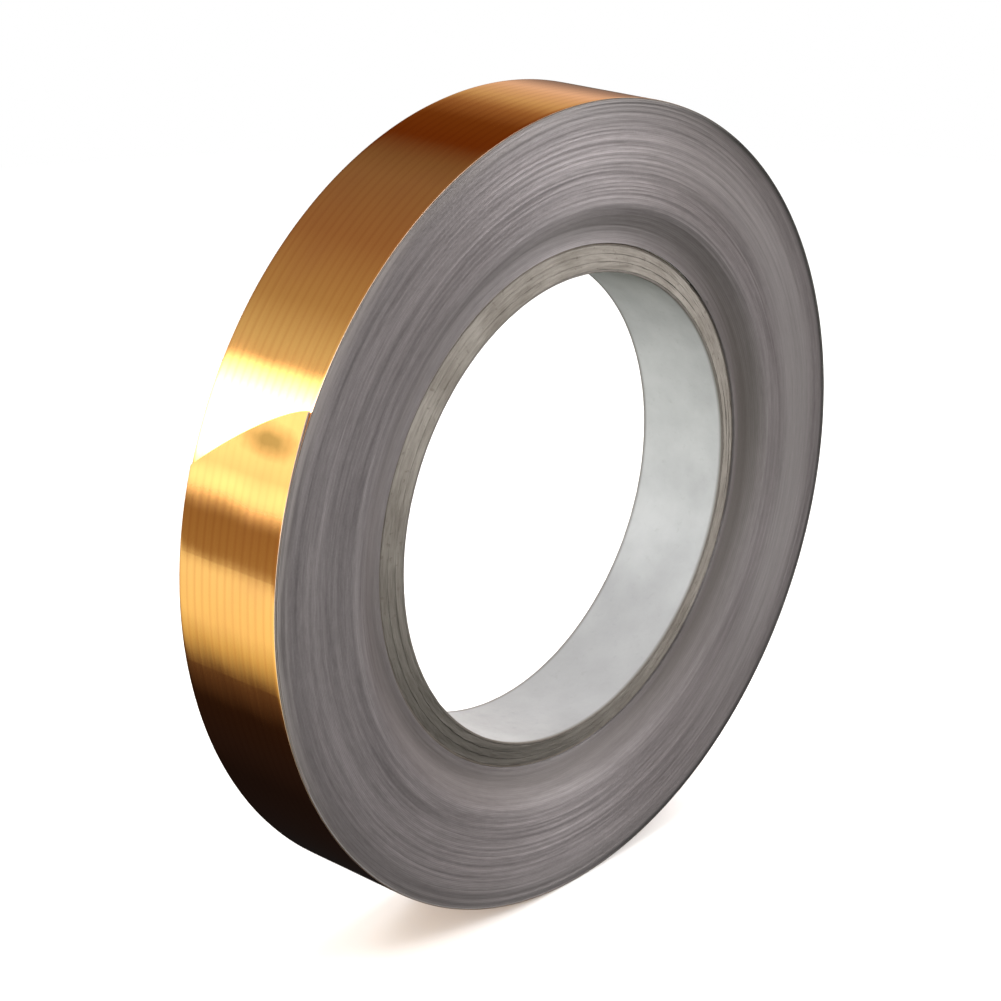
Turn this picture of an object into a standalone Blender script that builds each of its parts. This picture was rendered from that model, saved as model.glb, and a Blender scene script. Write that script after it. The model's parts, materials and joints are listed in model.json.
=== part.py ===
"""Copper foil tape roll: self-adhesive copper foil on a paper liner, wound on a plied paper core.

The roll stands on its rim. Its axis lies along Y, its front face looks along -Y, +Z is up and the
origin is the centre of the roll. Every piece is drawn in the winding frame, whose Z is the roll's
axis with the front face on top, and one empty turns that frame upright.

Places around the roll are counted in steps. A step is one facet of the turned rings, and step 0
lies on +X. The strip is followed from its free end inwards, so a higher step lies deeper.
"""

import math

import bmesh
import bpy
from mathutils import Vector

MM = 0.001

# Roll and core
ROLL_RADIUS = 32.7 * MM
BORE_RADIUS = 19.05 * MM
CORE_WIDTH = 8.5 * MM
GLUE_LINE = 0.02 * MM
CORE_PLIES = (
    ("core_bore_liner", 0.20 * MM, "white_paper"),
    ("core_inner_ply", 0.58 * MM, "grey_chipboard"),
    ("core_middle_ply", 0.58 * MM, "grey_chipboard"),
    ("core_outer_ply", 0.58 * MM, "grey_chipboard"),
    ("core_outer_wrap", 0.18 * MM, "brown_paper"),
)

# Tack strip that holds the first turn on the core
TACK_THICKNESS = 0.10 * MM
TACK_WIDTH = 7.0 * MM
TACK_STEPS = (12, 20)

# Strip: the layers of the laminate, from the outer side of a turn to its inner side
TAPE_WIDTH = 10.0 * MM
FOIL_THICKNESS = 0.035 * MM
ADHESIVE_THICKNESS = 0.030 * MM
LINER_THICKNESS = 0.055 * MM
LAYER_GAP = 0.005 * MM
ADHESIVE_DEPTH = FOIL_THICKNESS + LAYER_GAP
LINER_DEPTH = ADHESIVE_DEPTH + ADHESIVE_THICKNESS + LAYER_GAP
TAPE_THICKNESS = LINER_DEPTH + LINER_THICKNESS + LAYER_GAP
LINER = (LINER_DEPTH, LINER_THICKNESS, "liner_paper")
BONDED_LAYERS = {
    "foil": (0.0, FOIL_THICKNESS, "copper_foil"),
    "adhesive": (ADHESIVE_DEPTH, ADHESIVE_THICKNESS, "clear_adhesive"),
}
LAYERS = {**BONDED_LAYERS, "liner": LINER}

# Places around the roll, in steps
STEPS_PER_TURN = 96
FREE_END = 40.2
SLANT_STEPS = 2.9
PEEL_LINE = 46
TAIL_BEND = 50
TAIL_ROOT = 54
STRIP_INNER_END = TAIL_ROOT + STEPS_PER_TURN
HINGE_GAP = 0.3 * MM
HALF_HINGE_GAP = HINGE_GAP / 2 * STEPS_PER_TURN / (2 * math.pi * ROLL_RADIUS)

# Winding faces: flat, but sunk in a soft ring beside the narrower core
VALLEY_RADIUS = 22.0 * MM
VALLEY_REACH = 2.7 * MM
VALLEY_DEPTH = 1.0 * MM
VALLEY_POINTS = 7

# Base colour, roughness and metallic value
FINISHES = {
    "copper_foil": ((0.87, 0.47, 0.22), 0.22, 1.0),
    "clear_adhesive": ((0.62, 0.55, 0.36), 0.30, 0.0),
    "liner_paper": ((0.72, 0.70, 0.64), 0.60, 0.0),
    "wound_edges": ((0.21, 0.20, 0.205), 0.55, 0.2),
    "white_paper": ((0.60, 0.61, 0.60), 0.70, 0.0),
    "grey_chipboard": ((0.30, 0.27, 0.24), 0.90, 0.0),
    "brown_paper": ((0.33, 0.25, 0.18), 0.85, 0.0),
    "tack_tape": ((0.65, 0.63, 0.58), 0.50, 0.0),
}
SHARP_FROM = math.radians(30)


def make_material(name, colour, roughness, metallic):
    material = bpy.data.materials.new(name)
    material.use_nodes = True
    shader = material.node_tree.nodes["Principled BSDF"]
    shader.inputs["Base Color"].default_value = (*colour, 1.0)
    shader.inputs["Roughness"].default_value = roughness
    shader.inputs["Metallic"].default_value = metallic
    return material


def polar(radius, step, height=0.0):
    angle = 2 * math.pi * step / STEPS_PER_TURN
    return Vector((radius * math.cos(angle), radius * math.sin(angle), height))


def strip_radius(step):
    """Radius of the strip's outer surface, which sinks by one thickness in each turn."""
    return ROLL_RADIUS - TAPE_THICKNESS * (step - FREE_END) / STEPS_PER_TURN


def rear_edge_at(step):
    """Height of the strip's rear edge: the free end is cut on a slant, with its point in front."""
    along = (step - FREE_END) / SLANT_STEPS
    return TAPE_WIDTH / 2 - TAPE_WIDTH * min(along, 1.0)


def half_width_at(radius):
    """Half the width of the wound pack, less the soft ring sunk beside the core."""
    away = min(1.0, abs(radius - VALLEY_RADIUS) / VALLEY_REACH)
    return TAPE_WIDTH / 2 - VALLEY_DEPTH * (1 + math.cos(math.pi * away)) / 2


def add_empty(name, parent, place):
    """An empty at a place given in the winding frame."""
    empty = bpy.data.objects.new(name, None)
    empty.empty_display_size = 5 * MM
    empty.parent = parent
    empty.location = place - place_of(parent)
    collection.objects.link(empty)
    return empty


def place_of(empty):
    """Where an empty lies in the winding frame."""
    place = Vector()
    while empty is not None:
        place += empty.location
        empty = empty.parent
    return place


def add_piece(name, mesh, material, parent):
    """Adds a mesh drawn in the winding frame, and puts its origin at its parent's."""
    for vertex in mesh.vertices:
        vertex.co -= place_of(parent)
    mesh.materials.append(materials[material])
    piece = bpy.data.objects.new(name, mesh)
    piece.parent = parent
    collection.objects.link(piece)
    return piece


def apply_and_shade(piece):
    """Makes the modifier's result the mesh, smooth up to its sharp edges."""
    graph = bpy.context.evaluated_depsgraph_get()
    mesh = bpy.data.meshes.new_from_object(piece.evaluated_get(graph))
    piece.modifiers.clear()
    piece.data = mesh
    mesh.shade_smooth()
    mesh.set_sharp_from_angle(angle=SHARP_FROM)


def turned_ring(name, outline, material):
    """A ring turned from its closed outline of (radius, height), down the outer side first."""
    mesh = bpy.data.meshes.new(name)
    links = [(i, (i + 1) % len(outline)) for i in range(len(outline))]
    mesh.from_pydata([(radius, 0.0, height) for radius, height in outline], links, [])
    ring = add_piece(name, mesh, material, roll_frame)
    screw = ring.modifiers.new("Turn", "SCREW")
    screw.axis = "Z"
    screw.steps = STEPS_PER_TURN
    screw.render_steps = STEPS_PER_TURN
    apply_and_shade(ring)


def curved_sheet(name, first, last, place, thickness, material, parent):
    """A sheet bent round the roll from one step to another, thickened inwards.

    place(step, share) gives the radius and the height of the point that lies that share of the
    way from the sheet's rear edge to its front edge.
    """
    start = math.floor(first)
    columns = math.ceil(last) - start
    sheet = bmesh.new()
    bmesh.ops.create_grid(sheet, x_segments=columns, y_segments=1, size=1.0)
    for vertex in sheet.verts:
        step = start + columns * (vertex.co.x + 1) / 2
        step = min(max(step, first), last)
        radius, height = place(step, (vertex.co.y + 1) / 2)
        vertex.co = polar(radius, step, height)
    bmesh.ops.remove_doubles(sheet, verts=sheet.verts, dist=0.001 * MM)
    mesh = bpy.data.meshes.new(name)
    sheet.to_mesh(mesh)
    sheet.free()
    piece = add_piece(name, mesh, material, parent)
    solidify = piece.modifiers.new("Thickness", "SOLIDIFY")
    solidify.thickness = thickness
    solidify.offset = -1.0
    solidify.use_even_offset = True
    apply_and_shade(piece)


def strip_layer(name, layer, first, last, parent):
    """One layer of the strip between two steps, at its depth under the strip's outer surface."""
    depth, thickness, material = layer

    def place(step, share):
        rear = rear_edge_at(step)
        return strip_radius(step) - depth, rear + share * (TAPE_WIDTH / 2 - rear)

    curved_sheet(name, first, last, place, thickness, material, parent)


def build_core():
    """The paper tube, ply by ply, and the strip of tape that the first turn sticks to.

    It gives the radius at which the winding starts.
    """
    radius = BORE_RADIUS
    half = CORE_WIDTH / 2
    for name, thickness, material in CORE_PLIES:
        outer = radius + thickness
        outline = [(outer, half), (outer, -half), (radius, -half), (radius, half)]
        turned_ring(name, outline, material)
        radius = outer + GLUE_LINE
    tack_outside = radius + TACK_THICKNESS

    def place(step, share):
        return tack_outside, TACK_WIDTH * (share - 0.5)

    curved_sheet("core_tack_strip", *TACK_STEPS, place, TACK_THICKNESS, "tack_tape", roll_frame)
    return tack_outside + GLUE_LINE


def build_pack(inner):
    """The wound turns under the outermost one, from the radius at which the winding starts."""
    outer = strip_radius(STRIP_INNER_END) - TAPE_THICKNESS
    spacing = (VALLEY_RADIUS + VALLEY_REACH - inner) / (VALLEY_POINTS - 1)
    valley = [inner + i * spacing for i in range(VALLEY_POINTS)]
    rear = [(radius, -half_width_at(radius)) for radius in reversed(valley)]
    front = [(radius, half_width_at(radius)) for radius in valley]
    outline = [(outer, TAPE_WIDTH / 2), (outer, -TAPE_WIDTH / 2), *rear, *front]
    turned_ring("wound_tape", outline, "wound_edges")


def strip_stretch(name, layers, first, last, parent):
    """A stretch of the strip between two steps, one piece for each of its layers."""
    for layer_name, layer in layers.items():
        strip_layer(f"{name}_{layer_name}", layer, first, last, parent)


def fold_line(name, parent, step):
    """An empty on a line across the strip's outer surface, about which what follows it turns."""
    return add_empty(name, parent, polar(strip_radius(step), step))


def build_strip():
    """The outermost turn, the tail that lifts off it, and the foil tip that peels off the liner.

    Each stretch ends half a hinge gap short of its fold line. The liner runs on to the cut under
    the foil tip, so that one piece of it belongs to the end of the tail.
    """
    gap = HALF_HINGE_GAP
    strip_stretch("outer_turn", LAYERS, TAIL_ROOT + gap, STRIP_INNER_END, roll_frame)
    root = fold_line("tail_root", roll_frame, TAIL_ROOT)
    strip_stretch("tail_base", LAYERS, TAIL_BEND + gap, TAIL_ROOT - gap, root)
    bend = fold_line("tail_bend", root, TAIL_BEND)
    strip_stretch("tail_end", BONDED_LAYERS, PEEL_LINE + gap, TAIL_BEND - gap, bend)
    strip_layer("tail_end_liner", LINER, FREE_END, TAIL_BEND - gap, bend)
    peel = fold_line("peel_line", bend, PEEL_LINE)
    strip_stretch("foil_tip", BONDED_LAYERS, FREE_END, PEEL_LINE - gap, peel)


for thing in list(bpy.data.objects):
    bpy.data.objects.remove(thing, do_unlink=True)
collection = bpy.data.collections.new("copper_foil_tape_roll")
bpy.context.scene.collection.children.link(collection)
materials = {name: make_material(name, *finish) for name, finish in FINISHES.items()}

roll_frame = add_empty("roll_frame", None, Vector())
winding_radius = build_core()
build_pack(winding_radius)
build_strip()
roll_frame.rotation_euler.x = math.radians(90)
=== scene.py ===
"""Looks of the copper foil tape roll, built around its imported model.

The roll stands on its rim, its axis lies along Y and its front face looks along -Y. A place on it
is given by a radius, an angle from +X towards +Z, and y. The strip is followed inwards from its
free end, so its angle grows by a full turn while its radius sinks by one thickness of the tape.
"""

import json
import math

import bpy
import numpy as np
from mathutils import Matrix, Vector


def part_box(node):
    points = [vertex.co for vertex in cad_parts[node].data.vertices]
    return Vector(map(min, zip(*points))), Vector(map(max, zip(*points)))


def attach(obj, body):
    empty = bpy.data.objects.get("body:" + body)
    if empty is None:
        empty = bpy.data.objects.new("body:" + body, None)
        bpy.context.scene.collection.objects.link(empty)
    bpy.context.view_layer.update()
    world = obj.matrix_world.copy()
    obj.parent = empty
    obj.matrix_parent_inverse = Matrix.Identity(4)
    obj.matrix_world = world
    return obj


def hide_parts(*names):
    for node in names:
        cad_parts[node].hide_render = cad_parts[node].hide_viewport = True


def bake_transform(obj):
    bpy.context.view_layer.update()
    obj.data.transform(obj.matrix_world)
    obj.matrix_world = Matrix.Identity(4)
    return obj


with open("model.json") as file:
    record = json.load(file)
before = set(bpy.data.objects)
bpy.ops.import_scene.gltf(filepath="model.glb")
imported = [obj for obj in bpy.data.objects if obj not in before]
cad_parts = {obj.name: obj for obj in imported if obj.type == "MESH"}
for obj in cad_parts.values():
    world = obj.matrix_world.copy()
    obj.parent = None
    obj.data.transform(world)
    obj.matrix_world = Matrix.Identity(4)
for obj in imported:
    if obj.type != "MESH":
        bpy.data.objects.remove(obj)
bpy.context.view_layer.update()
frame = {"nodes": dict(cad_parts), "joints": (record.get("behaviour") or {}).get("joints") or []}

MM = 0.001
TURN = 2 * math.pi

# The strip's layers: depth under its outer surface, and thickness
FOIL = (0.0, 0.035 * MM)
ADHESIVE = (0.040 * MM, 0.030 * MM)
LINER = (0.075 * MM, 0.055 * MM)
TAPE_THICKNESS = 0.135 * MM

# The slanted cut of the free end, from the front edge to the rear edge
CUT_FRONT = math.radians(150.75)
CUT_REAR = math.radians(161.625)
CUT_BOW = 1.35

# Lift of the free end: where it starts, and its share of the height that a straight end would have
LIFT_FROM = math.radians(163.5)
LIFT_SHARE = 0.26

# Dent that a finger left in the free end
DENT_ANGLE = math.radians(157.0)
DENT_PLACE = -1.6 * MM
DENT_DEPTH = 0.030 * MM
DENT_LENGTH = 1.8 * MM
DENT_WIDTH = 1.98 * MM

# Relief of the foil: lines rolled along it, soft waves, and cut edges turned in and burred
LINE_SPACING = 0.80 * MM
LINE_SWERVE = 0.6
SWERVE_SPACING = 3.3 * LINE_SPACING
LINE_HEIGHT = 0.0012 * MM
WAVE_HEIGHT = 0.0024 * MM
WAVE_SLANT = 40
RELIEF_SEED = 7
EDGE_WIDTH = 0.35 * MM
EDGE_DROP = 0.012 * MM
BURR_WIDTH = 0.12 * MM
BURR_DROP = 0.007 * MM

# Mesh of the strip
ALONG_STEP = math.radians(0.9)
LEAST_COLUMNS = 6
ACROSS_COUNT = 50
SEAM_SHARE = 0.002

# Stretch of the strip from each hinge towards the free end; its end places are worked out but nothing
# bends the strip
BEND_LENGTH = {"tail_base": 4.5 * MM, "tail_end": 4.5 * MM, "foil_tip": 5.4 * MM}

# Faces of the winding: a soft ring sunk beside the core, and turns that wander sideways
VALLEY_RADIUS = 22.0 * MM
VALLEY_REACH = 2.7 * MM
VALLEY_DEPTH = 1.15 * MM
GROOVE_DEPTH = 0.016 * MM
TURN_WANDER = 0.008 * MM
WANDER_SEED = 21
BAND_WANDER = 0.0065 * MM
BAND_WIDTHS = (0.45 * MM, 0.8 * MM, 1.9 * MM)
BAND_WAVES = (0, 1, 2, 3)
BAND_SEED = 5

# The winding's spiral, and how its innermost turn passes over the tack strip
WINDING_SEGMENTS = 240
WANDER_LENGTH = WINDING_SEGMENTS // 16
WINDING_END = math.radians(40)
WINDING_GAP = 0.02 * MM
TACK_RAMP = math.radians(4)
TACK_OVERRUN = 0.2
TACK_CLEARANCE = 0.25 * MM

# The core: ends that slope down outwards and are torn where they were cut, soft walls, round corners
CORE_SLOPE = 0.60 * MM
CORE_SLOPE_POWER = 1.3
CUT_LENGTH = 0.6 * MM
COARSE_TEAR = 0.36
FINE_TEAR = 0.3
PLY_SEGMENTS = 360
PLY_CORNER = 0.015 * MM
WALL_RIPPLE = 0.012 * MM

# Spiral seam of the core's white lining: its slant to the axis, and its angle halfway along it
LINING_SEAM_SLANT = math.tan(math.radians(52))
LINING_SEAM_START = 4.05
LINING_SEAM_WIDTH = 0.35 * MM

# Colours of the materials, as linear red, green and blue
EDGE_SHADE_COLOUR = (0.012, 0.013, 0.013)
COPPER = {
    "foil": (0.955, 0.475, 0.145),
    "line": (0.86, 0.40, 0.118),
    "tarnish": (0.82, 0.36, 0.13),
    "handled": (0.47, 0.275, 0.086),
    "painted_dent_reflection": (0.172, 0.104, 0.024),
    "burr": (0.72, 0.56, 0.47),
    "cut": (0.34, 0.27, 0.23),
}
GLUE = {"thin": (0.80, 0.66, 0.45), "thick": (0.88, 0.77, 0.58), "cut": (0.20, 0.17, 0.15)}
RELEASE_PAPER = {
    "thin": (0.52, 0.51, 0.475),
    "thick": (0.64, 0.63, 0.595),
    "fibre": (0.43, 0.41, 0.37),
    "cut": (0.24, 0.225, 0.22),
}
WINDING = {
    "dark": (0.128, 0.119, 0.125),
    "light": (0.278, 0.259, 0.270),
    "foil": (0.19, 0.158, 0.155),
    "valley": (0.062, 0.052, 0.046),
    "dull_and_shade": (0.085, 0.076, 0.076),
    "rim_darkening": (0.088, 0.085, 0.084),
    "even": (0.36, 0.345, 0.352),
    "rim_highlight": (0.37, 0.345, 0.34),
    "edge_shade": (0.02, 0.021, 0.021),
}
CHIPBOARD = {
    "dark": (0.130, 0.114, 0.098),
    "light": (0.256, 0.237, 0.214),
    "lower_left_shade": (0.055, 0.050, 0.044),
    "speck": (0.085, 0.070, 0.056),
}
LINING = {
    "dark": (0.325, 0.330, 0.343),
    "light": (0.412, 0.419, 0.432),
    "fibre": (0.235, 0.24, 0.233),
    "shade_below": (0.17, 0.17, 0.172),
    "cut": (0.085, 0.070, 0.055),
}

# Painted darker reflection of the dent in the free end, in the strip's own millimetres: its middle, and
# its size both ways
DENT_REFLECTION_PLACE = (88.8, -2.2, 0.0)
DENT_REFLECTION_SIZE = (1.3, 3.3)

# Radii in millimetres between which the winding's tones change, from the core outwards
VALLEY_SHADE_RING = (21.1, 21.9, 22.6, 24.6)
VALLEY_DULL_AND_SHADE = (21.1, 21.9, 22.8, 25.4)
EVEN_RING = (26.0, 27.6, 29.8, 31.2)
DARKER_RIM_RING = (29.6, 32.3)
RIM_HIGHLIGHT_RING = (31.2, 32.3)
LAST_TURNS = (32.0, 32.4)

# Where round the roll its tones are strongest, in degrees
VALLEY_SHADE_AT = -46
EVEN_AT = 10
RIM_HIGHLIGHT_AT = 152
EDGE_SHADE_AT = -12
CORE_SHADE_AT = 235
LINING_SHADE_AT = -80

# Studio: the sky's colour at an angle from +X towards +Z, in degrees, none brighter than SKY_MOST
SKY_FROM = -90
SKY = (
    (-90, (0.012, 0.009, 0.011)),
    (-38, (0.01, 0.01, 0.01)),
    (-14, (0.14, 0.10, 0.08)),
    (0, (0.42, 0.29, 0.22)),
    (10, (0.86, 0.64, 0.48)),
    (24, (0.64, 0.52, 0.29)),
    (32, (0.34, 0.20, 0.09)),
    (42, (0.17, 0.065, 0.015)),
    (56, (0.145, 0.045, 0.009)),
    (66, (0.22, 0.17, 0.13)),
    (74, (0.27, 0.22, 0.19)),
    (98, (0.33, 0.25, 0.21)),
    (120, (0.50, 0.47, 0.39)),
    (133, (0.78, 0.86, 0.80)),
    (144, (1.00, 1.00, 0.95)),
    (167, (1.00, 1.00, 0.95)),
    (176, (0.70, 0.66, 0.58)),
    (184, (0.36, 0.27, 0.17)),
    (196, (0.42, 0.34, 0.22)),
    (200, (1.28, 1.45, 1.35)),
    (215, (1.25, 1.36, 1.10)),
    (222, (0.85, 0.85, 0.55)),
    (231, (0.13, 0.09, 0.07)),
    (242, (0.025, 0.015, 0.014)),
    (255, (0.020, 0.014, 0.017)),
    (269, (0.012, 0.009, 0.011)),
)
SKY_MOST = 1.5

# The sky's strength across the roll's axis and along it
SKY_ACROSS = 1.45
SKY_ALONG = 0.55

# One bright lamp in the sky: its angles in degrees, its reach along the axis, and its strength
LAMP_ANGLES = (138, 149, 168, 176)
LAMP_AXIAL = (0.36, 0.50, 0.74, 0.88)
LAMP_STRENGTH = 8.0

# Softboxes: place and size in metres, and power in watts
SOFTBOXES = {
    "front_softbox": ((0.06, -0.22, 0.27), 0.16, 0.27),
    "right_softbox": ((0.75, -0.60, 0.40), 0.5, 11.0),
    "top_softbox": ((0.0, 0.0, 1.1), 0.8, 6.0),
    "rear_softbox": ((0.45, 0.75, 0.45), 0.6, 9.0),
}

# Floor: half its side, how far it lies under the rim, and where it fades to white
FLOOR_REACH = 4.0
FLOOR_GAP = TAPE_THICKNESS / 4
FLOOR_FADE = (0.06, 0.26)

# Camera
CAMERA_AZIMUTH = math.radians(-48.4)
CAMERA_ELEVATION = math.radians(21.4)
CAMERA_DISTANCE = 0.1998
CAMERA_LENS = 90.1
CAMERA_SENSOR = 36
CAMERA_SHIFT = (-0.033, -0.0025)


def radii(node):
    """Least and greatest distance of a CAD node's points from the roll's axis."""
    reach = [math.hypot(v.co.x, v.co.z) for v in frame["nodes"][node].data.vertices]
    return min(reach), max(reach)


def half_width(node):
    low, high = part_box(node)
    return (high.y - low.y) / 2


def hinge(name):
    """Angle and radius of a joint's axis, the angle in the strip's first turn."""
    x, _, z = next(j["pos_m"] for j in frame["joints"] if j["name"] == name)
    return math.atan2(z, x) % TURN, math.hypot(x, z)


ROOT_ANGLE, ROOT_RADIUS = hinge("tail_lift")
BEND_ANGLE, _ = hinge("tail_curl")
PEEL_ANGLE, _ = hinge("foil_peel")
TAPE_HALF = half_width("outer_turn_foil")
ROLL_RADIUS = ROOT_RADIUS + TAPE_THICKNESS * (ROOT_ANGLE - CUT_FRONT) / TURN
BORE_RADIUS, _ = radii("core_bore_liner")
_, CORE_OUTSIDE = radii("core_outer_wrap")


# ---------------------------------------------------------------- shapes


def polar(radius, angle, y):
    """World places of arrays of radius, angle and y, as rows of x, y and z."""
    radius, angle, y = np.broadcast_arrays(radius, angle, y)
    rows = np.stack([radius * np.cos(angle), y, radius * np.sin(angle)], axis=-1)
    return rows.reshape(-1, 3)


def strip_radius(angle):
    return ROLL_RADIUS - TAPE_THICKNESS * (angle - CUT_FRONT) / TURN


def smooth_noise(random, count, width):
    """Seeded noise of mean square 1 along a line, smooth over width samples."""
    kernel = np.hanning(2 * width + 1)
    noise = np.convolve(random.normal(size=count + 2 * width), kernel, mode="valid")
    return noise / noise.std()


def ring_noise(random, angle, lowest, highest):
    """Seeded noise of mean square near 1 around a ring, from waves that close on themselves."""
    total = np.zeros_like(angle)
    for waves in range(lowest, highest + 1):
        phase = random.uniform(0, TURN)
        total = total + random.normal() * np.sin(waves * angle + phase)
    return total / math.sqrt((highest - lowest + 1) / 2)


def add_mesh(name, points, faces, body=None, sharp=40):
    """Adds a mesh, smooth up to edges of the angle sharp in degrees, that moves with a body."""
    mesh = bpy.data.meshes.new(name)
    mesh.from_pydata(points.tolist(), [], faces)
    mesh.update()
    mesh.shade_smooth()
    mesh.set_sharp_from_angle(angle=math.radians(sharp))
    piece = bpy.data.objects.new(name, mesh)
    bpy.context.scene.collection.objects.link(piece)
    if body:
        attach(piece, body)
    return piece


def finish_piece(piece, material, slot, *nodes):
    piece.data.materials.append(material)
    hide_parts(*nodes)
    return piece


def near_edge(y, width):
    """0 inside the strip, rising to 1 at its cut edges over a width."""
    return np.clip((np.abs(y) - TAPE_HALF + width) / width, 0, 1)


def relief(angle, y):
    """How far the strip's surface stands out: rolled lines, soft waves and turned-in edges."""
    random = np.random.default_rng(RELIEF_SEED)
    swerve = LINE_SWERVE * np.sin(TURN * y / SWERVE_SPACING)
    lines = np.sin(TURN * y / LINE_SPACING + swerve)
    straight_waves = ring_noise(random, angle, 9, 26)
    slanted_waves = ring_noise(random, angle + WAVE_SLANT * y, 20, 45)
    waves = straight_waves + 0.5 * slanted_waves
    turned_in = EDGE_DROP * near_edge(y, EDGE_WIDTH) ** 2 + BURR_DROP * near_edge(y, BURR_WIDTH) ** 2
    return LINE_HEIGHT * lines + WAVE_HEIGHT * waves - turned_in


def lift(angle, y):
    """How far the free end stands off the roll, less the dent that a finger left in it."""
    run = np.clip(LIFT_FROM - angle, 0, None) * ROLL_RADIUS
    rise = LIFT_SHARE * run**2 / (2 * ROLL_RADIUS)
    along = (angle - DENT_ANGLE) * ROLL_RADIUS / DENT_LENGTH
    across = (y - DENT_PLACE) / DENT_WIDTH
    return rise - DENT_DEPTH * np.exp(-2 * (along**2 + across**2))


def cut_angle(y):
    """Where the free end is cut, at a place across the strip."""
    share = (y + TAPE_HALF) / (2 * TAPE_HALF)
    return CUT_FRONT + (CUT_REAR - CUT_FRONT) * share**CUT_BOW


def strip_piece(name, layer, first, last, across=ACROSS_COUNT, slanted=False, lifted=False):
    """A stretch of one layer as a closed thin shell. A slanted one starts at the free end's cut."""
    depth, thickness = layer
    columns = max(LEAST_COLUMNS, round((last - first) / ALONG_STEP))
    share = np.linspace(0, 1, columns + 1)
    share = np.concatenate([[0, SEAM_SHARE], share[1:-1], [1 - SEAM_SHARE, 1]])
    rows_near_edge = BURR_WIDTH * np.arange(4) / 4
    y = np.linspace(BURR_WIDTH - TAPE_HALF, TAPE_HALF - BURR_WIDTH, across + 1)
    y = np.concatenate([rows_near_edge - TAPE_HALF, y, TAPE_HALF - rows_near_edge[::-1]])
    start = cut_angle(y) if slanted else np.full_like(y, first)
    angle = start[None, :] + share[:, None] * (last - start[None, :])
    y = np.broadcast_to(y, angle.shape)
    outer = strip_radius(angle) + relief(angle, y) - depth
    if lifted:
        outer = outer + lift(angle, y)
    points = np.vstack([polar(outer, angle, y), polar(outer - thickness, angle, y)])
    piece = add_mesh(name, points, shell_faces(*angle.shape))
    place = np.stack([angle * ROLL_RADIUS, y, 0 * y], axis=-1).reshape(-1, 3) / MM
    strip = piece.data.attributes.new("strip", "FLOAT_VECTOR", "POINT")
    strip.data.foreach_set("vector", np.vstack([place, place]).astype(np.float32).ravel())
    return piece


def shell_faces(rows, width):
    """Faces of a shell between two grids of rows by width points, the outer grid's points first."""
    count = rows * width
    grid = np.arange(count).reshape(rows, width)
    a, b, c, d = grid[:-1, :-1], grid[:-1, 1:], grid[1:, 1:], grid[1:, :-1]
    outer = np.stack([a, b, c, d], axis=-1).reshape(-1, 4)
    inner = outer[:, ::-1] + count
    rim = np.concatenate([grid[0, :], grid[1:, -1], grid[-1, -2::-1], grid[-2:0:-1, 0]])
    wall = loop_wall(rim, rim + count)
    return np.vstack([outer, inner, wall]).tolist()


def loop_wall(near, far):
    """Faces between a closed loop of points and the loop that lies behind it."""
    return np.stack([far, np.roll(far, -1), np.roll(near, -1), near], axis=-1)


def turned_piece(name, outline, segments, body, shift):
    """A ring turned from a closed outline of (radius, y). shift(radius, angle, y) moves its points."""
    outline = np.array(outline)
    angle = np.arange(segments) * TURN / segments
    radius, angle, y = np.broadcast_arrays(outline[:, 0], angle[:, None], outline[:, 1])
    move_radius, move_y = shift(radius, angle, y)
    points = polar(radius + move_radius, angle, y + move_y)
    a = np.arange(len(points)).reshape(segments, len(outline))
    b, d = np.roll(a, -1, axis=1), np.roll(a, -1, axis=0)
    c = np.roll(b, -1, axis=0)
    faces = np.stack([a, b, c, d], axis=-1).reshape(-1, 4)
    return add_mesh(name, points, faces.tolist(), body, sharp=50)


# ---------------------------------------------------------------- winding


def winding_half(radius):
    """Half the winding's width, sunk beside the narrower core."""
    away = np.clip((radius - VALLEY_RADIUS) / VALLEY_REACH, 0, 1)
    return TAPE_HALF - VALLEY_DEPTH * (1 + np.cos(math.pi * away)) / 2


def band_offset(radius, angle):
    """Sideways wander of the turns in bands, which fades in and out round the roll."""
    random = np.random.default_rng(BAND_SEED)
    total = np.zeros_like(radius)
    for band_width in BAND_WIDTHS:
        for waves in BAND_WAVES:
            phase = random.uniform(0, TURN, 3)
            bend = 0.5 * np.sin(angle + phase[2])
            streak = np.sin(TURN * radius / band_width + phase[0] + bend)
            total = total + random.normal() * streak * np.cos(waves * angle + phase[1])
    return BAND_WANDER * (total / len(BAND_WIDTHS))


def tack_rise(angle):
    """How far the innermost turn rises off the core to pass over the tack strip."""
    vertices = frame["nodes"]["core_tack_strip"].data.vertices
    place = [math.atan2(v.co.z, v.co.x) for v in vertices]
    middle = (min(place) + max(place)) / 2
    half_angle = (max(place) - min(place)) / 2
    away = np.abs((angle - middle + math.pi) % TURN - math.pi) - half_angle
    height = radii("core_tack_strip")[1] - CORE_OUTSIDE
    return height * np.clip(1 + TACK_OVERRUN - away / TACK_RAMP, 0, 1)


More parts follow.
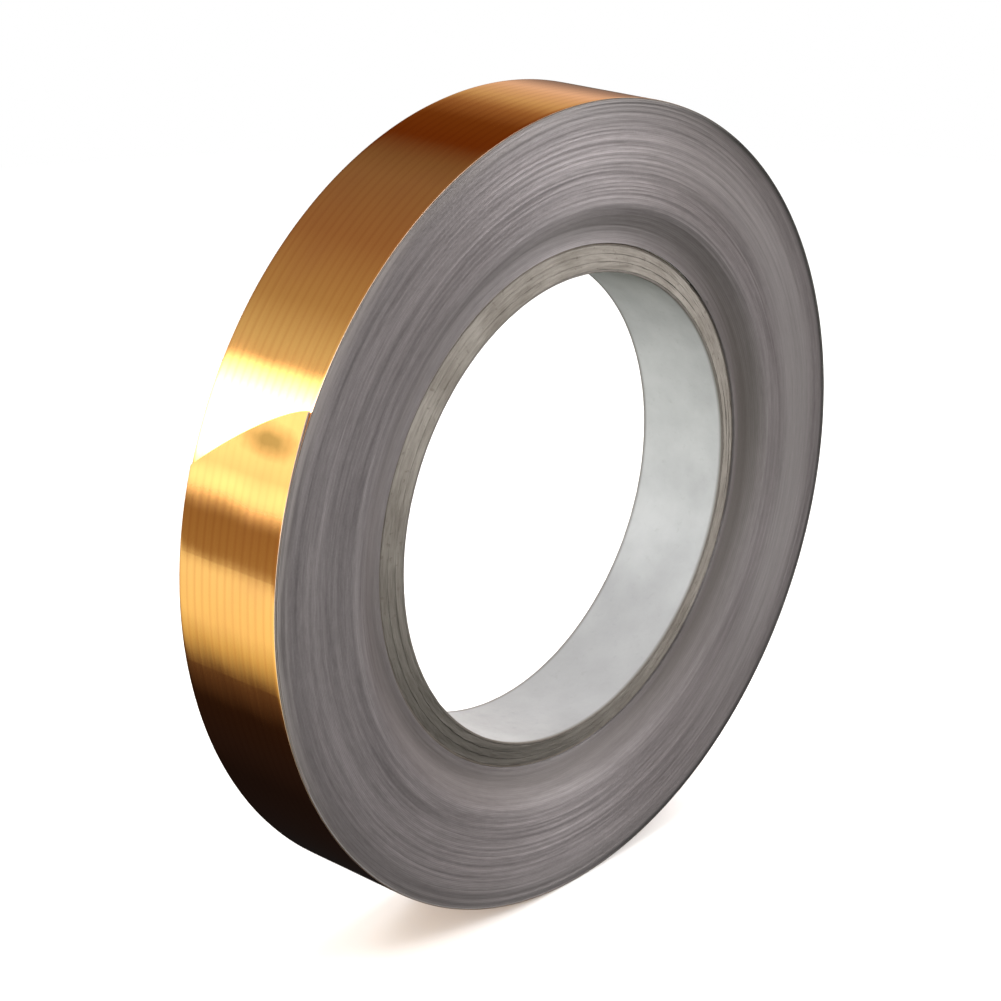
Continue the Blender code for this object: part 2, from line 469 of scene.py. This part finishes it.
def build_winding(material):
    """Every turn under the outermost one, as one spiral with a ridge for each turn on both faces.

    The bottoms of the grooves come first in the points, then the ridges' tops, then the same for
    the rear face, then two rings inside that clear the tack strip.
    """
    random = np.random.default_rng(WANDER_SEED)
    segments = WINDING_SEGMENTS
    first = ROOT_ANGLE + TURN
    first_radius = strip_radius(first)
    inner_radius = CORE_OUTSIDE + WINDING_GAP
    past_end = (first - WINDING_END) / TURN
    turns = math.floor((first_radius - inner_radius) / TAPE_THICKNESS + past_end) - past_end
    cells = int((turns - 1) * segments)
    count = cells + segments
    angle = first + TURN * np.arange(count) / segments
    groove_radius = first_radius - TAPE_THICKNESS * np.arange(count) / segments
    peak_radius = groove_radius - TAPE_THICKNESS / 2
    groove_radius[cells:] = inner_radius
    wander = TURN_WANDER * smooth_noise(random, count, WANDER_LENGTH)
    wander_outside = np.concatenate([wander[:1].repeat(segments), wander[:-segments]])
    peak = wander + band_offset(peak_radius, angle)
    groove = (wander + wander_outside) / 2 + band_offset(groove_radius, angle)

    def side(sign):
        low = winding_half(groove_radius) - GROOVE_DEPTH + sign * groove
        high = winding_half(peak_radius) + sign * peak
        grooves = polar(groove_radius, angle, -sign * low)
        return np.vstack([grooves, polar(peak_radius, angle, -sign * high)[: cells + 1]])

    inner_angle = angle[cells:]
    inside_radius = inner_radius + tack_rise(inner_angle)
    over_tack = half_width("core_tack_strip") + TACK_CLEARANCE
    inside = [polar(inside_radius, inner_angle, y) for y in (-over_tack, over_tack)]
    front_points, rear_points = side(1), side(-1)
    points = np.vstack([front_points, rear_points, *inside])

    behind = len(front_points)
    k = np.arange(cells)
    ridge = k + count
    next_turn = k + segments
    after = np.where(next_turn + 1 < count, next_turn + 1, cells)
    outer_half = np.stack([k + 1, ridge + 1, ridge, k], axis=-1)
    inner_half = np.stack([ridge + 1, after, next_turn, ridge], axis=-1)
    front = np.vstack([outer_half, inner_half])
    rear = front[:, ::-1] + behind
    outer_loop = np.array([*range(segments + 1), count])
    inner_loop = np.arange(cells, count)
    front_inside = 2 * behind + np.arange(segments)
    inner_loops = [inner_loop, front_inside, front_inside + segments, inner_loop + behind]
    walls = [loop_wall(outer_loop, outer_loop + behind)]
    walls += [loop_wall(far, near) for near, far in zip(inner_loops, inner_loops[1:])]
    faces = np.vstack([front, rear, *walls]).tolist()
    winding = add_mesh("winding", points, faces, "roll", sharp=60)
    return finish_piece(winding, material, "wound_edges", "wound_tape")


# ---------------------------------------------------------------- core


def rounded_outline(inner, outer, half, corner, radial, lengthwise):
    """Closed outline of a ply: round corners, and points along its two ends and its two walls."""
    centres = (
        (outer - corner, half - corner),
        (inner + corner, half - corner),
        (inner + corner, corner - half),
        (outer - corner, corner - half),
    )

    def corner_point(number, part):
        turn = math.radians(90 * number + 30 * part)
        radius, y = centres[number]
        return radius + corner * math.cos(turn), y + corner * math.sin(turn)

    outline = []
    for number, steps in enumerate((radial, lengthwise, radial, lengthwise)):
        outline += [corner_point(number, part) for part in range(4)]
        start, end = outline[-1], corner_point((number + 1) % 4, 0)
        for step in range(1, steps):
            share = step / steps
            outline.append(tuple(s + share * (e - s) for s, e in zip(start, end)))
    return outline


def build_ply(node, material, slot, seed, recess, roughness, corner=PLY_CORNER, lengthwise=6, seam=0.0):
    """One ply of the core. Its ends are cut unevenly, and recess is how far they lie back."""
    inner, outer = radii(node)
    half = half_width(node)
    outline = rounded_outline(inner, outer, half - recess, corner, 7, lengthwise)
    random = np.random.default_rng(seed)

    def shift(radius, angle, y):
        at_end = np.clip((np.abs(y) - half + CUT_LENGTH) / CUT_LENGTH, 0, 1)
        # The angle is shifted with the radius, so that the tear differs across the ply
        coarse = COARSE_TEAR * ring_noise(random, angle + 900 * radius, 2, 9)
        fine = FINE_TEAR * ring_noise(random, angle + 2500 * radius, 40, 90)
        outwards = (radius - BORE_RADIUS) / (CORE_OUTSIDE - BORE_RADIUS)
        slope = CORE_SLOPE * outwards**CORE_SLOPE_POWER
        move_y = np.sign(y) * at_end * (roughness * (coarse + fine) - slope)
        along_seam = (angle - y * LINING_SEAM_SLANT / inner) % TURN
        off_seam = (along_seam - LINING_SEAM_START) * inner / LINING_SEAM_WIDTH
        groove = seam * np.exp(-(off_seam**2)) * (radius < (inner + outer) / 2)
        soft = WALL_RIPPLE * ring_noise(random, angle + 60 * y, 3, 11)
        return groove + soft * (1 - at_end) * (seam > 0), move_y

    name = node.replace("core_", "tube_")
    piece = turned_piece(name, outline, PLY_SEGMENTS, "roll", shift)
    return finish_piece(piece, material, slot, node)


# ---------------------------------------------------------------- materials


class Graph:
    """Adds nodes to a tree. A value given to a node is either a number, a tuple or another socket."""

    def __init__(self, tree):
        self.tree = tree

    def node(self, kind, inputs=(), **settings):
        node = self.tree.nodes.new(kind)
        for setting, value in settings.items():
            setattr(node, setting, value)
        for key, value in dict(inputs).items():
            self.feed(node.inputs[key], value)
        return node

    def feed(self, socket, value):
        if isinstance(value, bpy.types.NodeSocket):
            self.tree.links.new(value, socket)
        else:
            socket.default_value = value

    def math(self, operation, a, b=0.0, c=0.0):
        return self.node("ShaderNodeMath", {0: a, 1: b, 2: c}, operation=operation).outputs[0]

    def times(self, a, b):
        return self.math("MULTIPLY", a, b)

    def scale_add(self, value, factor, rest):
        """value x factor + rest"""
        return self.math("MULTIPLY_ADD", value, factor, rest)

    def cosine(self, turns, degrees):
        """Cosine of the angle between a place, given in turns round the roll, and one in degrees."""
        return self.math("COSINE", self.scale_add(turns, TURN, -math.radians(degrees)))

    def combine(self, x=0.0, y=0.0, z=0.0):
        return self.node("ShaderNodeCombineXYZ", {0: x, 1: y, 2: z}).outputs[0]

    def separate(self, vector):
        return self.node("ShaderNodeSeparateXYZ", {0: vector}).outputs

    def vector(self, operation, a, b):
        return self.node("ShaderNodeVectorMath", {0: a, 1: b}, operation=operation).outputs[0]

    def length(self, vector):
        node = self.node("ShaderNodeVectorMath", {0: vector}, operation="LENGTH")
        return node.outputs["Value"]

    def noise(self, vector, scale, detail=3.0, roughness=0.5):
        inputs = {"Vector": vector, "Scale": scale, "Detail": detail, "Roughness": roughness}
        return self.node("ShaderNodeTexNoise", inputs).outputs["Fac"]

    def span(self, value, low, high, to_low=0.0, to_high=1.0):
        """Maps low..high to to_low..to_high, and no further."""
        inputs = {0: value, 1: low, 2: high, 3: to_low, 4: to_high}
        return self.node("ShaderNodeMapRange", inputs).outputs[0]

    def window(self, value, low_outer, low_inner, high_inner, high_outer):
        """1 between the two inner edges, and soft down to 0 at the two outer ones."""
        rise = self.span(value, low_outer, low_inner)
        return self.times(rise, self.span(value, high_inner, high_outer, 1.0, 0.0))

    def mix(self, share, a, b):
        """Mixes two colours, each a socket or red, green and blue."""
        node = self.node("ShaderNodeMix", {0: share}, data_type="RGBA")
        for socket, colour in ((6, a), (7, b)):
            self.feed(node.inputs[socket], (*colour, 1.0) if isinstance(colour, tuple) else colour)
        return node.outputs[2]

    def bump(self, height, strength, distance, normal=None):
        inputs = {"Height": height, "Strength": strength, "Distance": distance}
        if normal is not None:
            inputs["Normal"] = normal
        return self.node("ShaderNodeBump", inputs).outputs[0]

    def ramp(self, value, stops):
        node = self.node("ShaderNodeValToRGB", {0: value})
        elements = node.color_ramp.elements
        for number, (position, colour) in enumerate(stops):
            element = elements[number] if number < 2 else elements.new(position)
            element.position = position
            element.color = (*colour, 1.0)
        return node.outputs[0]


def new_material(name, roughness, metallic=0.0):
    """A material, a graph to add to it, and its shader's inputs."""
    material = bpy.data.materials.new(name)
    material.use_nodes = True
    shader = material.node_tree.nodes["Principled BSDF"]
    shader.inputs["Roughness"].default_value = roughness
    shader.inputs["Metallic"].default_value = metallic
    return material, Graph(material.node_tree), shader.inputs


def roll_place(graph):
    """Radius in millimetres, angle in turns, y in millimetres, and place of a point of the roll."""
    place = graph.node("ShaderNodeTexCoord").outputs["Object"]
    x, y, z = graph.separate(place)
    radius = graph.length(graph.combine(x, 0.0, z))
    turns = graph.math("DIVIDE", graph.math("ARCTAN2", z, x), TURN)
    return graph.times(radius, 1 / MM), turns, graph.times(y, 1 / MM), place


def ringed_place(graph, radius, place, along):
    """A place for noise drawn out round the roll: along is its change per metre that way."""
    x, _, z = graph.separate(place)
    return graph.combine(graph.times(x, along), radius, graph.times(z, along))


def strip_place(graph):
    """Place on the flattened strip in millimetres, and its parts along and across the strip."""
    place = graph.node("ShaderNodeAttribute", attribute_name="strip").outputs["Vector"]
    along, across, _ = graph.separate(place)
    return place, along, across


def edge_shade(graph, turns, most):
    """Share of painted shade on the outermost cut edges, on the right side of the roll and below it."""
    return graph.span(graph.cosine(turns, EDGE_SHADE_AT), 0.1, 0.4, 0.0, most)


def cut_edge(graph, along, across, colour, edge_colour):
    """The colour with the strip's two cut edges added, with painted shade on them from the right round
    to below.
    """
    turns = graph.math("DIVIDE", along, TURN * ROLL_RADIUS / MM)
    edge_colour = graph.mix(edge_shade(graph, turns, 0.92), edge_colour, EDGE_SHADE_COLOUR)
    half = TAPE_HALF / MM
    at_edge = graph.span(graph.math("ABSOLUTE", across), half - 0.006, half - 0.002)
    return graph.mix(at_edge, colour, edge_colour)


def painted_dent_reflection(graph, place):
    """Share of the painted darker reflection of the dent beside the cut."""
    length, width = DENT_REFLECTION_SIZE
    away = graph.vector("SUBTRACT", place, DENT_REFLECTION_PLACE)
    away = graph.vector("MULTIPLY", away, (1 / length, 1 / width, 1.0))
    away = graph.scale_add(graph.noise(place, 0.9, 3.0), 0.5, graph.length(away))
    return graph.span(away, 0.50, 1.40, 0.80, 0.0)


def copper_material():
    """Bright foil with lines rolled along it and cloudy patches, dulled by hands at the free end."""
    material, graph, shader = new_material("copper_foil_bright", 0.2, 1.0)
    place, along, across = strip_place(graph)

    stretched = graph.combine(graph.times(along, 0.012), across, 0.0)
    fine = graph.noise(stretched, 5.0, 2.0, 0.6)
    swerve = graph.times(graph.noise(stretched, 0.6, 1.0), 1.2)
    phase = graph.scale_add(across, TURN * MM / LINE_SPACING, swerve)
    wave = graph.scale_add(graph.math("SINE", phase), 0.5, 0.5)
    thin_line = graph.math("POWER", wave, 3.0)
    lines = graph.scale_add(thin_line, -0.5, graph.times(fine, 0.4))
    colour = graph.mix(graph.span(lines, -0.35, 0.25), COPPER["line"], COPPER["foil"])

    cloud = graph.noise(place, 0.22, 4.0, 0.55)
    tarnish = graph.span(cloud, 0.52, 0.78, 0.0, 0.35)
    colour = graph.mix(tarnish, colour, COPPER["tarnish"])

    handled_to = graph.scale_add(cloud, 0.8, ROLL_RADIUS / MM * LIFT_FROM + 0.3)
    handled = graph.span(graph.math("SUBTRACT", along, handled_to), -2.6, 1.2, 1.0, 0.0)
    colour = graph.mix(graph.times(handled, 0.8), colour, COPPER["handled"])
    # Painted darker reflection where the dent in the free end tilts the foil
    colour = graph.mix(painted_dent_reflection(graph, place), colour, COPPER["painted_dent_reflection"])

    half = TAPE_HALF / MM
    burr = graph.span(graph.math("ABSOLUTE", across), half - 0.08, half - 0.03)
    colour = graph.mix(burr, colour, COPPER["burr"])
    graph.feed(shader["Base Color"], cut_edge(graph, along, across, colour, COPPER["cut"]))

    smudge = graph.math("ADD", cloud, graph.times(fine, 0.5))
    rough = graph.span(smudge, 0.5, 1.0, 0.055, 0.11)
    rough = graph.scale_add(handled, 0.42, rough)
    graph.feed(shader["Roughness"], graph.scale_add(burr, 0.4, rough))

    grain = graph.noise(graph.combine(graph.times(along, 0.25), across, 0.0), 22.0, 2.0)
    speckle = graph.noise(place, 9.0, 3.0)
    normal = graph.bump(lines, 0.3, 0.003 * MM)
    normal = graph.bump(grain, 0.35, 0.002 * MM, normal)
    graph.feed(shader["Normal"], graph.bump(speckle, 0.3, 0.002 * MM, normal))
    return material


def adhesive_material():
    """Clear acrylic glue with a yellow cast, soft unevenness and fine bubbles."""
    material, graph, shader = new_material("clear_glue_film", 0.28)
    place, along, across = strip_place(graph)
    cloud = graph.noise(place, 0.8, 4.0, 0.6)
    bubbles = graph.noise(place, 6.0, 2.0)
    colour = graph.mix(graph.span(cloud, 0.35, 0.7), GLUE["thin"], GLUE["thick"])
    graph.feed(shader["Base Color"], cut_edge(graph, along, across, colour, GLUE["cut"]))
    graph.feed(shader["Roughness"], graph.span(bubbles, 0.35, 0.7, 0.30, 0.38))
    shader["IOR"].default_value = 1.47
    shader["Transmission Weight"].default_value = 0.75
    graph.feed(shader["Normal"], graph.bump(cloud, 0.25, 0.02 * MM))
    return material


def liner_material():
    """Glazed release paper: off-white, with a cloudy formation and short fibres."""
    material, graph, shader = new_material("release_liner_paper", 0.5)
    place, along, across = strip_place(graph)
    cloud = graph.noise(place, 0.9, 5.0, 0.6)
    fibres = graph.noise(graph.vector("MULTIPLY", place, (0.5, 3.0, 1.0)), 4.0, 4.0, 0.65)
    paper = graph.mix(graph.span(cloud, 0.3, 0.7), RELEASE_PAPER["thin"], RELEASE_PAPER["thick"])
    paper = graph.mix(graph.span(fibres, 0.58, 0.75, 0.0, 0.3), paper, RELEASE_PAPER["fibre"])
    graph.feed(shader["Base Color"], cut_edge(graph, along, across, paper, RELEASE_PAPER["cut"]))
    graph.feed(shader["Roughness"], graph.span(fibres, 0.3, 0.7, 0.34, 0.55))
    graph.feed(shader["Normal"], graph.bump(fibres, 0.5, 0.006 * MM))
    return material


def winding_material():
    """Cut edges of foil, glue and paper, turn on turn, with streaks where turns stand proud."""
    material, graph, shader = new_material("wound_tape_edges", 0.5)
    radius, turns, _, place = roll_place(graph)

    # The foil's share of each turn
    depth_in_turns = graph.math("DIVIDE", radius, TAPE_THICKNESS / MM)
    phase = graph.math("FRACT", graph.math("ADD", depth_in_turns, turns))
    foil = graph.window(phase, 0.62, 0.78, 0.90, 1.0)

    # Streaky grey of the edges
    ringed = ringed_place(graph, radius, place, 40.0)
    streak = graph.noise(ringed, 2.2, 4.0, 0.62)
    broad = graph.noise(ringed, 0.55, 2.0)
    fine = graph.noise(ringed_place(graph, radius, place, 160.0), 5.5, 3.0, 0.6)
    grain = graph.noise(place, 5200.0, 2.0)
    tone = graph.scale_add(streak, 0.5, graph.times(broad, 0.3))
    tone = graph.scale_add(fine, 0.25, tone)
    tone = graph.scale_add(grain, 0.15, tone)
    tone = graph.span(tone, 0.455, 0.755)
    colour = graph.mix(tone, WINDING["dark"], WINDING["light"])
    colour = graph.mix(graph.times(foil, 0.55), colour, WINDING["foil"])

    # The sunk ring beside the core gets painted shade, darkest at the right and palest at the top
    sideways = graph.math("COSINE", graph.scale_add(turns, 2 * TURN, -0.3))
    depth = graph.scale_add(sideways, 0.17, 0.46)
    depth = graph.scale_add(graph.cosine(turns, VALLEY_SHADE_AT), 0.26, depth)
    valley = graph.times(graph.window(radius, *VALLEY_SHADE_RING), depth)
    colour = graph.mix(valley, colour, WINDING["valley"])
    # Painted shade over a wider ring beside the core; the same ring is made duller and rougher below
    dull_and_shade = graph.window(radius, *VALLEY_DULL_AND_SHADE)
    colour = graph.mix(graph.times(dull_and_shade, 0.32), colour, WINDING["dull_and_shade"])

    # Darker near the rim, most of it at the top and below, and a paler, even stretch at the right
    upright = graph.math("COSINE", graph.scale_add(turns, 2 * TURN, math.radians(40)))
    darker_rim = graph.times(graph.span(radius, *DARKER_RIM_RING), graph.span(upright, 1.0, -1.0, 0.0, 0.58))
    colour = graph.mix(darker_rim, colour, WINDING["rim_darkening"])
    at_right = graph.span(graph.cosine(turns, EVEN_AT), 0.3, 0.9, 0.0, 0.42)
    even = graph.times(graph.window(radius, *EVEN_RING), at_right)
    colour = graph.mix(even, colour, WINDING["even"])

    # The outermost turns, with a painted highlight beside the free end and painted shade from the right
    # round to below
    at_free_end = graph.span(graph.cosine(turns, RIM_HIGHLIGHT_AT), 0.4, 1.0)
    rim_highlight = graph.times(graph.span(radius, *RIM_HIGHLIGHT_RING), at_free_end)
    rim_highlight = graph.times(rim_highlight, graph.span(streak, 0.38, 0.58, 0.2, 0.75))
    colour = graph.mix(rim_highlight, colour, WINDING["rim_highlight"])
    last_turns = graph.times(graph.span(radius, *LAST_TURNS), edge_shade(graph, turns, 0.85))
    colour = graph.mix(last_turns, colour, WINDING["edge_shade"])
    graph.feed(shader["Base Color"], colour)

    metallic = graph.scale_add(foil, 0.30, 0.35)
    matt = graph.scale_add(dull_and_shade, -0.75, 1.0)
    graph.feed(shader["Metallic"], graph.times(metallic, matt))
    shader["Anisotropic"].default_value = 0.75
    shader["Anisotropic Rotation"].default_value = 0.25
    tangent = graph.node("ShaderNodeTangent", direction_type="RADIAL", axis="Y").outputs[0]
    graph.feed(shader["Tangent"], tangent)
    rough = graph.span(grain, 0.3, 0.7, 0.36, 0.52)
    graph.feed(shader["Roughness"], graph.scale_add(dull_and_shade, 0.3, rough))
    normal = graph.bump(streak, 0.48, 0.05 * MM)
    graph.feed(shader["Normal"], graph.bump(grain, 0.3, 0.01 * MM, normal))
    return material


def chipboard_material():
    """Grey-brown recycled board: fibres that run round the tube, specks, and painted shade at the lower
    left.
    """
    material, graph, shader = new_material("tube_chipboard", 0.9)
    radius, turns, _, place = roll_place(graph)
    fibres = graph.noise(ringed_place(graph, radius, place, 90.0), 6.0, 4.0, 0.65)
    cloud = graph.noise(place, 260.0, 3.0)
    specks = graph.noise(place, 1900.0, 2.0)
    tone = graph.scale_add(fibres, 0.55, graph.times(cloud, 0.45))
    board = graph.mix(graph.span(tone, 0.36, 0.64), CHIPBOARD["dark"], CHIPBOARD["light"])
    # Painted shade at the lower left of the core's ends
    lower_left_shade = graph.span(graph.cosine(turns, CORE_SHADE_AT), 0.15, 1.0, 0.0, 0.80)
    board = graph.mix(lower_left_shade, board, CHIPBOARD["lower_left_shade"])
    board = graph.mix(graph.span(specks, 0.64, 0.72, 0.0, 0.5), board, CHIPBOARD["speck"])
    graph.feed(shader["Base Color"], board)
    graph.feed(shader["Roughness"], graph.span(fibres, 0.3, 0.7, 0.82, 0.97))
    normal = graph.bump(fibres, 0.8, 0.05 * MM)
    graph.feed(shader["Normal"], graph.bump(specks, 0.5, 0.03 * MM, normal))
    return material


def bore_material():
    """White lining paper with a cloudy formation, faint marks, painted shade towards the bottom, and
    greyed cut edges with painted shade beside them.
    """
    material, graph, shader = new_material("tube_white_paper", 0.7)
    _, turns, y, place = roll_place(graph)
    cloud = graph.noise(place, 190.0, 5.0, 0.6)
    fibres = graph.noise(place, 1500.0, 3.0, 0.6)
    paper = graph.mix(graph.span(cloud, 0.32, 0.68), LINING["dark"], LINING["light"])
    paper = graph.mix(graph.span(fibres, 0.60, 0.74, 0.0, 0.22), paper, LINING["fibre"])
    # Painted shade towards the bottom of the bore
    shade_below = graph.span(graph.cosine(turns, LINING_SHADE_AT), 0.6, 1.0, 0.0, 0.5)
    paper = graph.mix(shade_below, paper, LINING["shade_below"])
    # The cut ends are darkened, and so is a band of the inner wall beside them, which is painted shade
    cut = graph.span(graph.math("ABSOLUTE", y), 3.85, 4.18, 0.0, 0.88)
    graph.feed(shader["Base Color"], graph.mix(cut, paper, LINING["cut"]))
    graph.feed(shader["Roughness"], graph.span(fibres, 0.3, 0.7, 0.6, 0.78))
    normal = graph.bump(fibres, 0.5, 0.012 * MM)
    graph.feed(shader["Normal"], graph.bump(cloud, 0.4, 0.03 * MM, normal))
    return material


def plain_paper_material(name, dark, light):
    """Paper of one tone with fibres, for the plies that hardly show."""
    material, graph, shader = new_material(name, 0.85)
    place = graph.node("ShaderNodeTexCoord").outputs["Object"]
    cloud = graph.noise(place, 420.0, 4.0, 0.6)
    fibres = graph.noise(place, 2600.0, 3.0, 0.6)
    tone = graph.scale_add(fibres, 0.5, graph.times(cloud, 0.5))
    graph.feed(shader["Base Color"], graph.mix(graph.span(tone, 0.35, 0.65), dark, light))
    graph.feed(shader["Roughness"], graph.span(fibres, 0.3, 0.7, 0.72, 0.92))
    graph.feed(shader["Normal"], graph.bump(fibres, 0.6, 0.02 * MM))
    return material


# ---------------------------------------------------------------- strip


def build_strip(copper, adhesive, liner):
    """The outermost turn, the tail and the foil tip, each layer in pieces that meet at the tail's
    hinges.

    The liner runs on to the cut under the foil tip, so the tail's end has one piece of it.
    """
    layers = {
        "foil": (FOIL, copper, "copper_foil"),
        "adhesive": (ADHESIVE, adhesive, "clear_adhesive"),
        "liner": (LINER, liner, "liner_paper"),
    }
    bend_start = {"tail_base": ROOT_ANGLE, "tail_end": BEND_ANGLE, "foil_tip": PEEL_ANGLE}
    for layer_name, (layer, material, slot) in layers.items():
        across = ACROSS_COUNT // 2 if layer_name == "adhesive" else ACROSS_COUNT
        whole = layer_name == "liner"
        outer = strip_piece(f"turn_{layer_name}", layer, ROOT_ANGLE, ROOT_ANGLE + TURN, across)
        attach(outer, "roll")
        finish_piece(outer, material, slot, f"outer_turn_{layer_name}")
        base = strip_piece(f"base_{layer_name}", layer, BEND_ANGLE, ROOT_ANGLE, across, lifted=True)
        end_first = CUT_FRONT if whole else PEEL_ANGLE
        end = strip_piece(f"end_{layer_name}", layer, end_first, BEND_ANGLE, across, whole, lifted=True)
        made = {"tail_base": base, "tail_end": end}
        if not whole:
            tip = strip_piece(f"tip_{layer_name}", layer, CUT_FRONT, PEEL_ANGLE, across, True, True)
            made["foil_tip"] = tip
        for body, piece in made.items():
            start = bend_start[body]
            stop = start - BEND_LENGTH[body] / ROLL_RADIUS
            start_place = polar(strip_radius(start), start, 0.0)[0]
            stop_place = polar(strip_radius(stop), stop, 0.0)[0]
            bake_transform(piece)
            finish_piece(piece, material, slot, f"{body}_{layer_name}")


# ---------------------------------------------------------------- stage


def around_sky(degrees):
    """Share of the way round the sky at which an angle lies."""
    return (degrees - SKY_FROM) / 360


def build_world():
    """A studio whose light depends on the direction round the roll's axis, dimmer towards the axis.

    The camera sees plain white behind the roll.
    """
    scene = bpy.context.scene
    scene.world = bpy.data.worlds.new("studio")
    scene.world.use_nodes = True
    tree = scene.world.node_tree
    graph = Graph(tree)
    background = tree.nodes["Background"]
    direction = graph.node("ShaderNodeTexCoord").outputs["Generated"]
    x, y, z = graph.separate(direction)
    turns = graph.math("DIVIDE", graph.math("ARCTAN2", z, x), TURN)
    around = graph.math("FRACT", graph.math("ADD", turns, 1 + around_sky(0)))
    stops = [(around_sky(degrees), [c / SKY_MOST for c in colour]) for degrees, colour in SKY]
    sky = graph.ramp(around, stops)
    axial = graph.math("ABSOLUTE", y)
    brightness = graph.span(axial, 0.25, 0.95, SKY_ACROSS * SKY_MOST, SKY_ALONG * SKY_MOST)
    lamp_around = graph.window(around, *map(around_sky, LAMP_ANGLES))
    lamp = graph.times(lamp_around, graph.window(axial, *LAMP_AXIAL))
    graph.feed(background.inputs["Color"], graph.mix(lamp, sky, (1.0, 1.0, 1.0)))
    graph.feed(background.inputs["Strength"], graph.scale_add(lamp, LAMP_STRENGTH, brightness))
    backdrop = graph.node("ShaderNodeBackground", {"Color": (1, 1, 1, 1)})
    seen = graph.node("ShaderNodeLightPath").outputs["Is Camera Ray"]
    mixed = graph.node("ShaderNodeMixShader", {0: seen})
    tree.links.new(background.outputs[0], mixed.inputs[1])
    tree.links.new(backdrop.outputs[0], mixed.inputs[2])
    tree.links.new(mixed.outputs[0], tree.nodes["World Output"].inputs["Surface"])


def add_softbox(name, place, size, power):
    """A square soft light that looks at the roll and isn't seen itself."""
    light = bpy.data.lights.new(name, "AREA")
    light.size = size
    light.energy = power
    lamp = bpy.data.objects.new(name, light)
    lamp.location = place
    lamp.rotation_mode = "QUATERNION"
    lamp.rotation_quaternion = lamp.location.to_track_quat("Z", "Y")
    lamp.visible_camera = False
    bpy.context.scene.collection.objects.link(lamp)
    return lamp


def build_softboxes():
    """The softboxes. The rear one lights the rear face and stays out of the foil's reflections."""
    lamps = {name: add_softbox(name, *values) for name, values in SOFTBOXES.items()}
    lamps["rear_softbox"].visible_glossy = False


def build_floor():
    """A pale floor that takes the roll's shadow and fades to white around it."""
    reach = FLOOR_REACH
    points = np.array([(-reach, -reach, 0), (reach, -reach, 0), (reach, reach, 0), (-reach, reach, 0)])
    points[:, 2] = -ROLL_RADIUS - FLOOR_GAP
    floor = add_mesh("floor", points, [(0, 1, 2, 3)])
    material, graph, shader = new_material("pale_floor", 0.9)
    place = graph.node("ShaderNodeTexCoord").outputs["Object"]
    cloud = graph.noise(place, 40.0, 2.0)
    graph.feed(shader["Base Color"], graph.mix(cloud, (0.85, 0.86, 0.88), (0.89, 0.90, 0.92)))
    glow = graph.node("ShaderNodeEmission", {"Color": (1, 1, 1, 1)})
    sweep = graph.node("ShaderNodeMixShader", {0: graph.span(graph.length(place), *FLOOR_FADE)})
    tree = material.node_tree
    tree.links.new(tree.nodes["Principled BSDF"].outputs[0], sweep.inputs[1])
    tree.links.new(glow.outputs[0], sweep.inputs[2])
    tree.links.new(sweep.outputs[0], tree.nodes["Material Output"].inputs["Surface"])
    floor.data.materials.append(material)
    floor.visible_glossy = False
    floor.visible_diffuse = False


def build_camera():
    """The photo's camera, which looks at the roll's centre."""
    camera = bpy.data.cameras.new("camera")
    camera.lens = CAMERA_LENS
    camera.sensor_width = CAMERA_SENSOR
    camera.shift_x, camera.shift_y = CAMERA_SHIFT
    camera.clip_start = 0.01
    viewer = bpy.data.objects.new("camera", camera)
    flat = math.cos(CAMERA_ELEVATION)
    back = (
        math.sin(CAMERA_AZIMUTH) * flat,
        -math.cos(CAMERA_AZIMUTH) * flat,
        math.sin(CAMERA_ELEVATION),
    )
    viewer.location = [CAMERA_DISTANCE * b for b in back]
    viewer.rotation_mode = "QUATERNION"
    viewer.rotation_quaternion = viewer.location.to_track_quat("Z", "Y")
    bpy.context.scene.collection.objects.link(viewer)
    bpy.context.scene.camera = viewer


def build_core():
    """The core's five plies from the bore outwards, and new looks for the tack strip's CAD node."""
    bore_liner = bore_material()
    chipboard = chipboard_material()
    brown = plain_paper_material("tube_brown_paper", (0.095, 0.080, 0.066), (0.155, 0.135, 0.114))
    tack = plain_paper_material("tack_tissue", (0.58, 0.56, 0.50), (0.72, 0.70, 0.64))
    smooth = 0.02 * MM
    torn = 0.05 * MM
    build_ply(
        "core_bore_liner",
        bore_liner,
        "core_white_paper",
        seed=3,
        recess=0.03 * MM,
        roughness=smooth,
        corner=0.05 * MM,
        lengthwise=30,
        seam=0.03 * MM,
    )
    build_ply("core_inner_ply", chipboard, "core_chipboard", seed=4, recess=0.0, roughness=torn)
    build_ply("core_middle_ply", chipboard, "core_chipboard", seed=5, recess=0.01 * MM, roughness=torn)
    build_ply("core_outer_ply", chipboard, "core_chipboard", seed=6, recess=0.01 * MM, roughness=torn)
    build_ply("core_outer_wrap", brown, "core_brown_paper", seed=7, recess=0.02 * MM, roughness=smooth)
    frame["nodes"]["core_tack_strip"].material_slots[0].material = tack


build_camera()
build_world()
build_floor()
build_softboxes()
bpy.context.scene.view_settings.view_transform = "Standard"

build_winding(winding_material())
build_strip(copper_material(), adhesive_material(), liner_material())
build_core()
